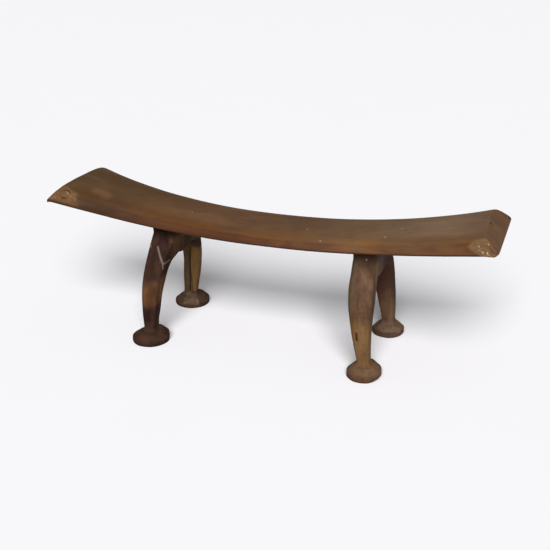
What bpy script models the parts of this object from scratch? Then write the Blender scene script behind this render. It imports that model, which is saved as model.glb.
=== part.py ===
"""Carved wooden headrest: a dished crossbar on two arched leg yokes.

The frame: the origin is on the floor under the middle of the headrest, +X runs along the crossbar
to the right as seen from its front, +Y runs to its back and +Z is up. All sizes are in metres.

Each yoke is carved in one piece: two bowed legs under an arch, each on a round foot. Its flat head sits
in a shallow housing in the crossbar's underside, and two blind pegs hold it there.
"""

import math

import bmesh
import bpy

# Crossbar
BAR_HALF_LENGTH = 0.2360        # from the middle to the sharp lower edge of either end
LOW_POINT_X = -0.0067           # the dish is deepest a little left of the middle
RIM_HEIGHT_MID = 0.1216         # height of the bar's widest line, at its deepest point
RIM_HEIGHT_LEFT = 0.1501        # and at its two ends
RIM_HEIGHT_RIGHT = 0.1462
DISH_POWER = 2.15               # how the rim climbs from the middle to the ends
HALF_WIDTH_MID = 0.0407
HALF_WIDTH_END = 0.0575
WIDTH_POWER = 3.4
CROWN_MID = 0.0116              # the rounded top stands this far above the rim
CROWN_LEFT = 0.0205
CROWN_RIGHT = 0.0138
CROWN_POWER = 1.5
BELLY = 0.0043                  # the flat underside lies this far below the rim
TOP_ROUNDNESS_MID = 2.3         # superellipse exponents: 2 is an ellipse, and higher is squarer
TOP_ROUNDNESS_LEFT = 2.5
TOP_ROUNDNESS_RIGHT = 4.0
TOP_ROUNDNESS_POWER = 2.5
UNDERSIDE_ROUNDNESS = 5.5
BEVEL_SLOPE_LEFT = 1.04         # fall over run of the bevelled face at each end
BEVEL_SLOPE_RIGHT = 0.70
BAR_STATIONS = 45
BAR_RING_POINTS = 32

# Leg yokes
YOKE_SHIFT = -0.0015            # the pair of yokes stands a little left of the bar's middle
FOOT_X = 0.1188                 # from the middle of the pair to the centres of the feet
FOOT_Y = 0.0532                 # from the bar's centre line to the centres of the feet
HEAD_HALF_WIDTH = 0.0320        # the head's reach to the front and the back of the bar's centre line
HEAD_INNER_X = 0.0976           # the head's two faces, from the middle of the pair
HEAD_OUTER_X = 0.1212
LEFT_HOLLOWING = 0.0027         # the left legs' faces towards the middle are hollowed by this
RIGHT_TRIM = 0.0006             # and the right legs' faces away from the middle are trimmed by this
HEAD_TOP = 0.1300               # each head is trimmed below this, to fit its housing
OUTER_ROUNDNESS = 4.0           # the legs are squarer outside and rounder under the arch
ARCH_ROUNDNESS = 3.0
YOKE_RING_POINTS = 24
FOOT_RADIUS_LEFT = 0.0202
FOOT_RADIUS_RIGHT = 0.0178
FOOT_RIM_HEIGHT = 0.0050
FOOT_DOME = (                   # how far in from the rim to the ankle, and the height there
    (0.35, 0.0090),
    (0.70, 0.0108),
    (0.92, 0.0115),
)
ANKLE_RADIUS = 0.0068
HOUSING_DEPTH = 0.0035          # how far the yoke's head enters the bar's underside

# Blind pegs
PEG_RADIUS = 0.0040
PEG_Y = 0.0150                  # from the bar's centre line
PEG_INTO_BAR = 0.0070
PEG_INTO_YOKE = 0.0160
PEG_SIDES = 24

GAP = 0.0003                    # between pieces that touch

# One half of the arch, from the ankle up to the middle of the head. Each station has a (y, z) point
# on the inner contour, under the arch, a (y, z) point across from it on the outer contour, and the
# distances of the inner and the outer face from the middle of the pair.
ARCH_STATIONS = (
    ((0.0462, 0.0165), (0.0597, 0.0165), 0.1122, 0.1244),
    ((0.0461, 0.0235), (0.0605, 0.0225), 0.1112, 0.1243),
    ((0.0456, 0.0315), (0.0616, 0.0335), 0.1091, 0.1242),
    ((0.0447, 0.0415), (0.0617, 0.0455), 0.1065, 0.1242),
    ((0.0425, 0.0520), (0.0602, 0.0595), 0.1038, 0.1242),
    ((0.0390, 0.0625), (0.0566, 0.0725), 0.1014, 0.1240),
    ((0.0337, 0.0725), (0.0518, 0.0845), 0.0997, 0.1236),
    ((0.0271, 0.0806), (0.0460, 0.0962), 0.0985, 0.1230),
    ((0.0205, 0.0857), (0.0398, 0.1075), 0.0980, 0.1222),
    ((0.0148, 0.0885), (0.0344, 0.1165), 0.0977, 0.1214),
    ((0.0105, 0.0898), (HEAD_HALF_WIDTH, 0.1200), HEAD_INNER_X, HEAD_OUTER_X),
    ((0.0070, 0.0905), (HEAD_HALF_WIDTH, HEAD_TOP), HEAD_INNER_X, HEAD_OUTER_X),
    ((0.0035, 0.0908), (0.0160, HEAD_TOP), HEAD_INNER_X, HEAD_OUTER_X),
    ((0.0000, 0.0909), (0.0000, HEAD_TOP), HEAD_INNER_X, HEAD_OUTER_X),
)

# Colour, roughness and metallic value of each wood
BAR_WOOD = ((0.150, 0.085, 0.045, 1.0), 0.42, 0.0)
YOKE_WOOD = ((0.065, 0.034, 0.022, 1.0), 0.46, 0.0)
PEG_WOOD = ((0.240, 0.150, 0.080, 1.0), 0.70, 0.0)


def clear_scene():
    for old in list(bpy.data.objects):
        bpy.data.objects.remove(old, do_unlink=True)


def wood(name, look):
    colour, roughness, metallic = look
    material = bpy.data.materials.new(name)
    material.use_nodes = True
    shader = material.node_tree.nodes["Principled BSDF"]
    shader.inputs["Base Color"].default_value = colour
    shader.inputs["Roughness"].default_value = roughness
    shader.inputs["Metallic"].default_value = metallic
    return material


def mesh_object(name, bm, material):
    bmesh.ops.recalc_face_normals(bm, faces=bm.faces)
    mesh = bpy.data.meshes.new(name)
    bm.to_mesh(mesh)
    bm.free()
    mesh.materials.append(material)
    mesh.shade_smooth()
    mesh.set_sharp_from_angle(angle=math.radians(35))
    piece = bpy.data.objects.new(name, mesh)
    bpy.context.collection.objects.link(piece)
    return piece


def loft(rings):
    """A closed body through a list of rings, each with the same number of points."""
    bm = bmesh.new()
    loops = [[bm.verts.new(point) for point in ring] for ring in rings]
    count = len(rings[0])
    for near, far in zip(loops, loops[1:]):
        for i in range(count):
            j = (i + 1) % count
            bm.faces.new((near[i], near[j], far[j], far[i]))
    bm.faces.new(loops[0])
    bm.faces.new(loops[-1])
    return bm


def squircle(angle, exponent):
    """A point on the unit superellipse."""
    power = 2.0 / exponent
    c = math.cos(angle)
    s = math.sin(angle)
    return math.copysign(abs(c) ** power, c), math.copysign(abs(s) ** power, s)


def blend(start, end, amount):
    return start + (end - start) * amount


def bar_section(x):
    """Half width, rim height, crown and top roundness of the crossbar at x."""
    reach = abs(x - LOW_POINT_X) / BAR_HALF_LENGTH
    end_rim = RIM_HEIGHT_LEFT if x < LOW_POINT_X else RIM_HEIGHT_RIGHT
    end_crown = CROWN_LEFT if x < LOW_POINT_X else CROWN_RIGHT
    end_roundness = TOP_ROUNDNESS_LEFT if x < LOW_POINT_X else TOP_ROUNDNESS_RIGHT
    half_width = blend(HALF_WIDTH_MID, HALF_WIDTH_END, reach ** WIDTH_POWER)
    rim = blend(RIM_HEIGHT_MID, end_rim, reach ** DISH_POWER)
    crown = blend(CROWN_MID, end_crown, reach ** CROWN_POWER)
    roundness = blend(TOP_ROUNDNESS_MID, end_roundness, reach ** TOP_ROUNDNESS_POWER)
    return half_width, rim, crown, roundness


def bar_ring(x):
    half_width, rim, crown, roundness = bar_section(x)
    ring = []
    for i in range(BAR_RING_POINTS):
        angle = math.tau * i / BAR_RING_POINTS
        on_top = math.sin(angle) >= 0
        across, up = squircle(angle, roundness if on_top else UNDERSIDE_ROUNDNESS)
        ring.append((x, half_width * across, rim + up * (crown if on_top else BELLY)))
    return ring


def bevel_bar_end(bm, side, slope):
    """Cut the end off along a plane that rises inwards from its lower edge."""
    tip = side * BAR_HALF_LENGTH
    edge_height = bar_section(tip)[1] - BELLY
    geometry = bm.verts[:] + bm.edges[:] + bm.faces[:]
    cut = bmesh.ops.bisect_plane(
        bm,
        geom=geometry,
        dist=0.00001,
        plane_co=(tip, 0.0, edge_height),
        plane_no=(side * slope, 0.0, 1.0),
        clear_outer=True,
    )
    rim_edges = [item for item in cut["geom_cut"] if isinstance(item, bmesh.types.BMEdge)]
    bmesh.ops.edgenet_fill(bm, edges=rim_edges)


def head_x(side):
    """The middle of a yoke's head."""
    return YOKE_SHIFT + side * (HEAD_INNER_X + HEAD_OUTER_X) / 2


def housing_height(side):
    """Height of the housing's flat floor, where the yoke's head sits."""
    return bar_section(head_x(side))[1] - BELLY + HOUSING_DEPTH


def leg_ring(side, flip, station, top):
    """A ring round the arch at one station, in the plane through its two points and the X axis."""
    inner, outer, inner_x, outer_x = station
    carved_away = math.sin(math.pi * outer[1] / HEAD_TOP)
    if side < 0:
        inner_x += LEFT_HOLLOWING * carved_away
    else:
        outer_x -= RIGHT_TRIM * carved_away
    inner_z = min(inner[1], top)
    outer_z = min(outer[1], top)
    mid_x = (outer_x + inner_x) / 2
    mid_y = (outer[0] + inner[0]) / 2
    mid_z = (outer_z + inner_z) / 2
    reach_x = (outer_x - inner_x) / 2
    reach_y = (outer[0] - inner[0]) / 2
    reach_z = (outer_z - inner_z) / 2
    ring = []
    for i in range(YOKE_RING_POINTS):
        angle = math.tau * i / YOKE_RING_POINTS
        roundness = OUTER_ROUNDNESS if math.cos(angle) >= 0 else ARCH_ROUNDNESS
        along, across = squircle(angle, roundness)
        x = YOKE_SHIFT + side * (mid_x + reach_x * across)
        y = flip * (mid_y + reach_y * along)
        ring.append((x, y, mid_z + reach_z * along))
    return ring


def foot_ring(side, flip, radius, height):
    """A level ring round the foot, whose first point lies in the direction of a leg ring's first."""
    ring = []
    for i in range(YOKE_RING_POINTS):
        angle = math.tau * i / YOKE_RING_POINTS
        x = YOKE_SHIFT + side * (FOOT_X + radius * math.sin(angle))
        y = flip * (FOOT_Y + radius * math.cos(angle))
        ring.append((x, y, height))
    return ring


def half_yoke_rings(side, flip, foot_radius, top):
    """The rings from the floor to the middle of the head, at the front (flip -1) or the back (1)."""
    rings = [
        foot_ring(side, flip, foot_radius, 0.0),
        foot_ring(side, flip, foot_radius, FOOT_RIM_HEIGHT),
    ]
    for share, height in FOOT_DOME:
        rings.append(foot_ring(side, flip, blend(foot_radius, ANKLE_RADIUS, share), height))
    for station in ARCH_STATIONS:
        rings.append(leg_ring(side, flip, station, top))
    return rings


def make_yoke(name, side, foot_radius, material):
    top = housing_height(side) - GAP
    front = half_yoke_rings(side, -1, foot_radius, top)
    back = half_yoke_rings(side, 1, foot_radius, top)
    return mesh_object(name, loft(front + back[-2::-1]), material)


def make_crossbar(material):
    margin = 1.04               # the loft runs past both ends, and the bevels cut it back
    rings = []
    for i in range(BAR_STATIONS):
        place = blend(-margin, margin, i / (BAR_STATIONS - 1))
        rings.append(bar_ring(place * BAR_HALF_LENGTH))
    bm = loft(rings)
    bevel_bar_end(bm, -1, BEVEL_SLOPE_LEFT)
    bevel_bar_end(bm, 1, BEVEL_SLOPE_RIGHT)
    return mesh_object("crossbar", bm, material)


def cylinder(name, radius, x, y, bottom, top, material):
    bm = bmesh.new()
    bmesh.ops.create_cone(
        bm,
        cap_ends=True,
        segments=PEG_SIDES,
        radius1=radius,
        radius2=radius,
        depth=top - bottom,
    )
    piece = mesh_object(name, bm, material)
    piece.location = (x, y, (top + bottom) / 2)
    return piece


def block(name, half_x, half_y, x, bottom, top, material):
    bm = bmesh.new()
    bmesh.ops.create_cube(bm, size=1.0)
    bmesh.ops.scale(bm, vec=(2 * half_x, 2 * half_y, top - bottom), verts=bm.verts)
    piece = mesh_object(name, bm, material)
    piece.location = (x, 0.0, (top + bottom) / 2)
    return piece


def cut(target, cutter):
    modifier = target.modifiers.new("cut_" + cutter.name, "BOOLEAN")
    modifier.operation = "DIFFERENCE"
    modifier.solver = "EXACT"
    modifier.object = cutter
    cutter.hide_render = True
    cutter.display_type = "WIRE"


def make_pegs(side, side_name, bar, yoke, material):
    """Two blind pegs, and the holes for them in the yoke's head and in the bar."""
    floor = housing_height(side)
    bottom = floor - PEG_INTO_YOKE
    top = floor + PEG_INTO_BAR
    for flip, place in ((-1, "front"), (1, "back")):
        name = f"{side_name}_{place}_peg"
        x = head_x(side)
        y = flip * PEG_Y
        cylinder(name, PEG_RADIUS, x, y, bottom, top, material)
        hole = cylinder(
            "hole_for_" + name, PEG_RADIUS + GAP, x, y, bottom - GAP, top + GAP, material
        )
        cut(bar, hole)
        cut(yoke, hole)


def main():
    clear_scene()
    bar_wood = wood("bar_wood", BAR_WOOD)
    yoke_wood = wood("yoke_wood", YOKE_WOOD)
    peg_wood = wood("peg_wood", PEG_WOOD)
    bar = make_crossbar(bar_wood)
    for side, side_name, foot_radius in (
        (-1, "left", FOOT_RADIUS_LEFT),
        (1, "right", FOOT_RADIUS_RIGHT),
    ):
        yoke = make_yoke(side_name + "_leg_yoke", side, foot_radius, yoke_wood)
        floor = housing_height(side)
        housing = block(
            side_name + "_housing",
            (HEAD_OUTER_X - HEAD_INNER_X) / 2 + GAP,
            HEAD_HALF_WIDTH + GAP,
            head_x(side),
            floor - 0.02,
            floor,
            bar_wood,
        )
        cut(bar, housing)
        make_pegs(side, side_name, bar, yoke, peg_wood)


main()
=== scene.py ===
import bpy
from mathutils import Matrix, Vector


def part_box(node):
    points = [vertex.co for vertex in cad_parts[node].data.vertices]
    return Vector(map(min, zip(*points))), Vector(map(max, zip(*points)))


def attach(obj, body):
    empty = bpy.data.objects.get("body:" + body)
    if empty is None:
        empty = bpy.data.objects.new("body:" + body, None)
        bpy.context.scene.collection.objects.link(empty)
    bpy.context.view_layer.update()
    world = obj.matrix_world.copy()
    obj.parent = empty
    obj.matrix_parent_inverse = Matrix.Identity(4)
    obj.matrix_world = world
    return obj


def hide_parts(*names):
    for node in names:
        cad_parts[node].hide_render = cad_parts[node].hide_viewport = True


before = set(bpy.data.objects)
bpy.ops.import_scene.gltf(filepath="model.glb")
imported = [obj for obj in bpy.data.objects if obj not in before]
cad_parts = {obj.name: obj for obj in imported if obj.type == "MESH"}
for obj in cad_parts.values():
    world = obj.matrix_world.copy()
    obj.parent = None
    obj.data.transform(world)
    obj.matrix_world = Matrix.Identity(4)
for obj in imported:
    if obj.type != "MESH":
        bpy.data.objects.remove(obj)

"""Carved wooden headrest: the finished look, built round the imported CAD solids.

The crossbar and the two leg yokes are rebuilt as dense carved meshes inside the boxes of the solids that
they replace, and the blind pegs keep their CAD solids with a better material. Metres, +X along the bar,
+Y towards the back, +Z up.
"""

import math

import bmesh
import bpy
import numpy as np
from mathutils import Vector, noise

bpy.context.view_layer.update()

# The boxes that everything is placed by
BAR_LOW, BAR_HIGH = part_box("crossbar")
YOKE_BOXES = {-1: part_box("left_leg_yoke"), 1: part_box("right_leg_yoke")}
PEG_BOXES = {
    (-1, -1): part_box("left_front_peg"),
    (-1, 1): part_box("left_back_peg"),
    (1, -1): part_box("right_front_peg"),
    (1, 1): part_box("right_back_peg"),
}
SIDE_NAMES = {-1: "left", 1: "right"}
GAP = 0.0003                    # between pieces that touch

# Crossbar: the same driving dimensions as its solid
BAR_HALF_LENGTH = BAR_HIGH.x
LOW_POINT_X = -0.0067
RIM_HEIGHT_MID = 0.1216
RIM_HEIGHT_END = {-1: 0.1501, 1: 0.1462}
DISH_POWER = 2.15
HALF_WIDTH_MID = 0.0407
HALF_WIDTH_END = 0.0575
WIDTH_POWER = 3.4
CROWN_MID = 0.0116
CROWN_END = {-1: 0.0205, 1: 0.0138}
CROWN_POWER = 1.5
FULLNESS_MID = 2.3              # how square the crown's section is, in the middle and at the ends
FULLNESS_END = {-1: 2.5, 1: 4.0}
FULLNESS_POWER = 2.5
BELLY = 0.0043
BEVEL_SLOPE = {-1: 1.02, 1: 0.76}
BEVEL_TWIST = {-1: 0.0, 1: -2.8}        # change in slope per metre towards the back
BEVEL_SOFTNESS = {-1: 0.0030, 1: 0.00030}
TIP_THICKNESS = 0.0007          # the worn lower edge at each tip
BEVEL_DOME = {-1: 0.0030, 1: 0.0004}
# How far along and across the bar each corner of the plan is rounded
CORNER_ROUNDING = {
    (-1, -1): (0.0050, 0.0090),
    (-1, 1): (0.0055, 0.0100),
    (1, -1): (0.0050, 0.0120),
    (1, 1): (0.0018, 0.0030),
}
BEVEL_LENGTH = 0.024            # how far in from each tip the dome of its bevel runs
BEVEL_REACH = 0.05              # the bevels stay this close to the tips
BELLY_SQUARENESS = 5.5
HOUSING_CUTTER_HEIGHT = 0.02
BAR_STATIONS = 400
BAR_POINTS = 176                # round each station

# Marks of use on the crossbar
FLAKE_POINT = (0.2088, -0.0474, 0.1538)
FLAKE_NORMAL = (0.06, -0.80, 0.60)
FLAKE_REACH = 0.034
RUBBED_TIP = (-0.2215, -0.0500, 0.1490)
RUBBED_SHAPE = (0.78, 1.25, 1.0)        # the rubbed patch is longer along the bar than across it
PIT_CENTRE = (0.2215, 0.0023, 0.1555)
PIT_RADIUS = 0.0034
PIT_DEPTH = 0.0012
CRACKS = (                      # start, end, width
    ((-0.2195, -0.0450, 0.1555), (-0.2165, -0.0430, 0.1562), 0.0009),
    ((-0.2165, -0.0430, 0.1562), (-0.2115, -0.0445, 0.1538), 0.0008),
    ((-0.2185, -0.0510, 0.1491), (-0.2155, -0.0505, 0.1496), 0.0010),
)
CRACK_DEPTH = 0.0007
CHIPS = (                       # centre, radius
    ((0.2176, -0.0500, 0.1494), 0.0010),
    ((0.2256, -0.0479, 0.1514), 0.0009),
    ((0.2219, -0.0525, 0.1455), 0.0011),
    ((0.2259, -0.0526, 0.1451), 0.0010),
    ((-0.2140, -0.0458, 0.1540), 0.0012),
)
CHIP_DEPTH = 0.0002
TORN_EDGE = ((0.2173, -0.0519, 0.1466), (0.2303, -0.0543, 0.1424), 0.0010)
TORN_STRENGTH = 0.34
KNOCKS = (                      # x, y, radius
    (0.1384, -0.0081, 0.0018), (0.1263, -0.0280, 0.0018), (0.0634, -0.0357, 0.0015),
    (0.0364, -0.0166, 0.0010), (0.0434, -0.0155, 0.0010), (-0.0841, -0.0149, 0.0014),
    (-0.0300, 0.0210, 0.0013),
)
KNOCK_DEPTH = 0.0003
# A painted highlight streak on the front of the crown near the left end: start, end, width
BLOOM = ((-0.1890, -0.0284, 0.1537), (-0.1760, -0.0306, 0.1498), 0.0074)

# Leg yokes: the same stations as their solids, from the ankle up to the middle of the head
HEAD_HALF_WIDTH = 0.0320
HEAD_INNER_X = 0.0976
HEAD_OUTER_X = 0.1212
OUTER_EDGE = (                  # y, z of each station's outer side, from the ankle up
    (0.0597, 0.0165), (0.0605, 0.0225), (0.0616, 0.0335), (0.0617, 0.0455), (0.0602, 0.0595),
    (0.0566, 0.0725), (0.0518, 0.0845), (0.0460, 0.0962), (0.0398, 0.1075), (0.0344, 0.1165),
    (HEAD_HALF_WIDTH, 0.1200),
)
NEAR_X = (0.1122, 0.1112, 0.1091, 0.1065, 0.1038, 0.1014, 0.0997, 0.0985, 0.0980, 0.0977, HEAD_INNER_X)
FAR_X = (0.1244, 0.1243, 0.1242, 0.1242, 0.1242, 0.1240, 0.1236, 0.1230, 0.1222, 0.1214, HEAD_OUTER_X)
# y, z of each station's side towards the arch: two that every leg has, and the rest, which were cut a
# little differently on each
ARCH_ANKLE = ((0.0462, 0.0165), (0.0461, 0.0235))
ARCH_EDGE = {
    (-1, -1): (
        (0.0456, 0.0315), (0.0447, 0.0415), (0.0428, 0.0520), (0.0399, 0.0630), (0.0352, 0.0741),
        (0.0285, 0.0826), (0.0205, 0.0862), (0.0148, 0.0880), (0.0105, 0.0888),
    ),
    (-1, 1): (
        (0.0456, 0.0315), (0.0450, 0.0415), (0.0436, 0.0530), (0.0412, 0.0645), (0.0382, 0.0755),
        (0.0330, 0.0845), (0.0250, 0.0895), (0.0175, 0.0908), (0.0120, 0.0908),
    ),
    (1, -1): (
        (0.0456, 0.0315), (0.0446, 0.0412), (0.0421, 0.0508), (0.0376, 0.0600), (0.0318, 0.0682),
        (0.0268, 0.0765), (0.0222, 0.0838), (0.0165, 0.0885), (0.0110, 0.0908),
    ),
    (1, 1): (
        (0.0458, 0.0315), (0.0450, 0.0415), (0.0436, 0.0530), (0.0412, 0.0645), (0.0382, 0.0750),
        (0.0335, 0.0840), (0.0250, 0.0880), (0.0170, 0.0902), (0.0110, 0.0912),
    ),
}
ARCH_TOP = {-1: 0.0900, 1: 0.0920}      # where the two legs meet
# How far each leg stands out at the ankle beyond the common shape, towards and away from the middle
ANKLE_EXTRA = {
    (-1, -1): (0.0026, 0.0000),
    (-1, 1): (0.0012, 0.0026),
    (1, -1): (0.0008, 0.0004),
    (1, 1): (0.0005, 0.0012),
}
FRONT_RIGHT_BULGE = 0.0015      # how far the front right leg's haunch swells towards the middle
# How far the worn edge of a foot has lifted off the floor, on the side away from the middle
FOOT_LIFT = {(-1, -1): 0.0, (-1, 1): 0.0, (1, -1): 0.0034, (1, 1): 0.0018}
# How much higher each foot's top is than the common shape: all round, and more at the back right
FOOT_RAISE = {
    (-1, -1): (0.0006, 0.0030),
    (-1, 1): (0.0000, 0.0020),
    (1, -1): (0.0016, 0.0028),
    (1, 1): (0.0000, 0.0011),
}
FOOT_X = 0.1188
FOOT_Y = 0.0532
YOKE_SHIFT = -0.0015            # of both yokes along the bar
FOOT_RIM_HEIGHT = 0.0050
FOOT_DISC_HEIGHT = 0.0112       # top of the domed disc, where the ankle stands on it
FOOT_DISC_SHARE = 0.78          # how much of the foot's rings the disc takes
LEFT_HOLLOWING = 0.0027         # taken off the left legs' near faces half-way up
RIGHT_TRIM = 0.0006             # and off the right legs' far faces
HEAD_CENTRE_X = {side: YOKE_SHIFT + side * (HEAD_INNER_X + HEAD_OUTER_X) / 2 for side in (-1, 1)}
HEAD_CHAMFER = 0.0006
HEAD_CORNER = 0.30              # the share of the head's stations in which its top corner is turned
LEG_STEPS = 150                 # stations from the ankle to the head
HEAD_STEPS = 26                 # stations in half of the head
LEG_POINTS = 132                # round each station
LEG_SHARPNESS = 34.0            # of the ridges between facets
LEG_RIDGE_WIDTH = 0.00045
FACET_DRIFT = 0.00022           # how far a facet wanders in and out
FACET_LEAN = 0.06               # how far a pared edge turns, in radians
FOOT_FACETS = 9
FOOT_SHARPNESS = 40.0
FOOT_RIDGE_WIDTH = 0.03         # as a share of the foot's radius
FOOT_EDGE = 0.0009              # radius of the sole's edge
FOOT_STEPS = 26                 # stations from the foot's rim to the ankle
NECK_FLARE = 0.0018             # how much wider the neck is where it grows out of the foot
RIM_DIRT_TOP = {-1: 0.0054, 1: 0.0068}


# ---------------------------------------------------------------- small helpers

def smooth_step(low, high, value):
    t = np.clip((value - low) / (high - low), 0.0, 1.0)
    return t * t * (3.0 - 2.0 * t)


def fractal(points, scale, seed):
    """Smooth noise in two octaves at each point. scale is in cycles per metre, per axis."""
    scaled = points * scale + seed * 17.31
    coarse = np.array([noise.noise(Vector(p)) for p in scaled])
    fine = np.array([noise.noise(Vector(p * 2.0)) for p in scaled])
    return coarse + 0.5 * fine


def spline(values, places):
    """Catmull-Rom through evenly numbered values (rows of an array), read at fractional places."""
    last = len(values) - 1
    out = []
    for place in places:
        i = min(int(place), last - 1)
        t = place - i
        p0 = values[max(i - 1, 0)]
        p1 = values[i]
        p2 = values[i + 1]
        p3 = values[min(i + 2, last)]
        out.append(
            0.5 * (2 * p1 + (p2 - p0) * t + (2 * p0 - 5 * p1 + 4 * p2 - p3) * t ** 2
                   + (3 * p1 - p0 - 3 * p2 + p3) * t ** 3)
        )
    return np.array(out)


def link_new(name, data):
    """A new object in the scene, round a mesh, a camera or a light."""
    made = bpy.data.objects.new(name, data)
    bpy.context.collection.objects.link(made)
    return made


def object_from(bm, name):
    """A new object round a finished bmesh."""
    mesh = bpy.data.meshes.new(name)
    bm.to_mesh(mesh)
    bm.free()
    return link_new(name, mesh)


def ring_mesh(name, rings):
    """A closed tube through an array of rings (ring, point, xyz), with a flat cap at each end."""
    ring_count, point_count, _ = rings.shape
    faces = []
    for i in range(ring_count - 1):
        for j in range(point_count):
            k = (j + 1) % point_count
            a = i * point_count
            b = a + point_count
            faces.append((a + j, a + k, b + k, b + j))
    last = (ring_count - 1) * point_count
    faces.append(tuple(range(point_count)))
    faces.append(tuple(range(last, last + point_count)))
    mesh = bpy.data.meshes.new(name)
    mesh.from_pydata(rings.reshape(-1, 3).tolist(), [], faces)
    bm = bmesh.new()
    bm.from_mesh(mesh)
    bmesh.ops.recalc_face_normals(bm, faces=bm.faces)
    bm.to_mesh(mesh)
    bm.free()
    return link_new(name, mesh)


def vertex_values(piece, name):
    """The "co" or "normal" of every vertex, as rows of an array."""
    values = np.empty(len(piece.data.vertices) * 3)
    piece.data.vertices.foreach_get(name, values)
    return values.reshape(-1, 3)


def set_positions(piece, co, low, high):
    """Move the vertices to co, kept inside a box. Returns where they went."""
    co = np.clip(co, np.array(low), np.array(high))
    piece.data.vertices.foreach_set("co", co.ravel())
    piece.data.update()
    return co


def add_masks(piece, masks):
    """Numbers from 0 to 1 at each vertex, by name, for the materials to read."""
    for name, values in masks.items():
        layer = piece.data.attributes.new(name, "FLOAT", "POINT")
        layer.data.foreach_set("value", np.clip(values, 0.0, 1.0).astype(np.float32))


def hump(values, middle, width):
    """1 at the middle, falling off smoothly on both sides."""
    return np.exp(-((values - middle) / width) ** 2)


def strongest(masks):
    return np.max(np.stack(list(masks)), axis=0)


def plane_off(co, point, normal, reach):
    """Pare the points beyond a plane back to it, within reach of a point. Returns how much came off."""
    normal = np.array(normal) / np.linalg.norm(normal)
    proud = (co - point) @ normal
    near = np.linalg.norm(co - point, axis=1) < reach
    cut = np.where(near, np.clip(proud, 0.0, None), 0.0)
    co -= cut[:, None] * normal
    return cut


def dent(co, normals, centre, radius, depth):
    """A small round hollow. Returns its mask."""
    distance = np.linalg.norm(co - centre, axis=1) / radius
    mask = np.clip(1.0 - distance ** 2, 0.0, 1.0) ** 2
    co -= normals * (mask * depth)[:, None]
    return mask


def near_line(co, start, end, width):
    """1 along a straight line between two points, fading to 0 at width from it."""
    along = np.subtract(end, start)
    share = np.clip((co - start) @ along / (along @ along), 0.0, 1.0)
    distance = np.linalg.norm(co - start - share[:, None] * along, axis=1)
    return np.clip(1.0 - (distance / width) ** 2, 0.0, 1.0)


def cut_with(piece, cutters):
    """Boolean the cutters out of a piece for good, and remove them."""
    for cutter in cutters:
        modifier = piece.modifiers.new("cut", "BOOLEAN")
        modifier.operation = "DIFFERENCE"
        modifier.solver = "EXACT"
        modifier.object = cutter
    bpy.context.view_layer.update()
    graph = bpy.context.evaluated_depsgraph_get()
    result = bpy.data.meshes.new_from_object(piece.evaluated_get(graph), depsgraph=graph)
    piece.modifiers.clear()
    piece.data = result
    for cutter in cutters:
        bpy.data.objects.remove(cutter, do_unlink=True)


def box_cutter(low, high):
    bm = bmesh.new()
    bmesh.ops.create_cube(bm, size=1.0)
    size = [high[i] - low[i] for i in range(3)]
    middle = [(high[i] + low[i]) / 2 for i in range(3)]
    bmesh.ops.scale(bm, vec=size, verts=bm.verts)
    bmesh.ops.translate(bm, vec=middle, verts=bm.verts)
    return object_from(bm, "cutter")


def peg_cutter(side, flip):
    """The hole for a blind peg: the peg's own cylinder and a little more all round."""
    low, high = PEG_BOXES[(side, flip)]
    radius = (high.x - low.x) / 2 + GAP
    bm = bmesh.new()
    bmesh.ops.create_cone(
        bm,
        cap_ends=True,
        segments=40,
        radius1=radius,
        radius2=radius,
        depth=high.z - low.z + 2 * GAP,
    )
    bmesh.ops.translate(bm, vec=(low + high) / 2, verts=bm.verts)
    return object_from(bm, "cutter")


# ---------------------------------------------------------------- crossbar

def bar_section(x):
    """Half width, rim height, crown and fullness of the crossbar at x."""
    def at_end(values):
        return np.where(x < LOW_POINT_X, values[-1], values[1])

    reach = np.abs(x - LOW_POINT_X) / BAR_HALF_LENGTH
    half_width = HALF_WIDTH_MID + (HALF_WIDTH_END - HALF_WIDTH_MID) * reach ** WIDTH_POWER
    rim = RIM_HEIGHT_MID + (at_end(RIM_HEIGHT_END) - RIM_HEIGHT_MID) * reach ** DISH_POWER
    crown = CROWN_MID + (at_end(CROWN_END) - CROWN_MID) * reach ** CROWN_POWER
    fullness = FULLNESS_MID + (at_end(FULLNESS_END) - FULLNESS_MID) * reach ** FULLNESS_POWER
    return half_width, rim, crown, fullness


def top_height(x, y):
    """Height of the crossbar's top at (x, y), before its ends are bevelled."""
    half_width, rim, crown, fullness = bar_section(x)
    out = np.clip(np.abs(y) / half_width, 0.0, 1.0)
    return rim + crown * (1.0 - out ** fullness) ** (1 / fullness)


def bar_rings():
    place = np.linspace(-1.0, 1.0, BAR_STATIONS)
    x = (BAR_HALF_LENGTH * (1.35 * place - 0.35 * place ** 3))[:, None]     # closer together at the ends
    half_width, rim, crown, fullness = bar_section(x)
    angle = (math.tau * np.arange(BAR_POINTS) / BAR_POINTS)[None, :]
    c = np.cos(angle)
    s = np.sin(angle)
    on_top = s >= 0
    rise = (1.0 - np.abs(c) ** fullness) ** (1 / fullness)
    across_low = np.sign(c) * np.abs(c) ** (2 / BELLY_SQUARENESS)
    drop = np.abs(s) ** (2 / BELLY_SQUARENESS)

    rings = np.empty((BAR_STATIONS, BAR_POINTS, 3))
    rings[:, :, 0] = x
    rings[:, :, 1] = half_width * np.where(on_top, c, across_low)
    rings[:, :, 2] = rim + np.where(on_top, rise * crown, -BELLY * drop)
    bevel_ends(rings)
    round_corners(rings)
    return rings


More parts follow.
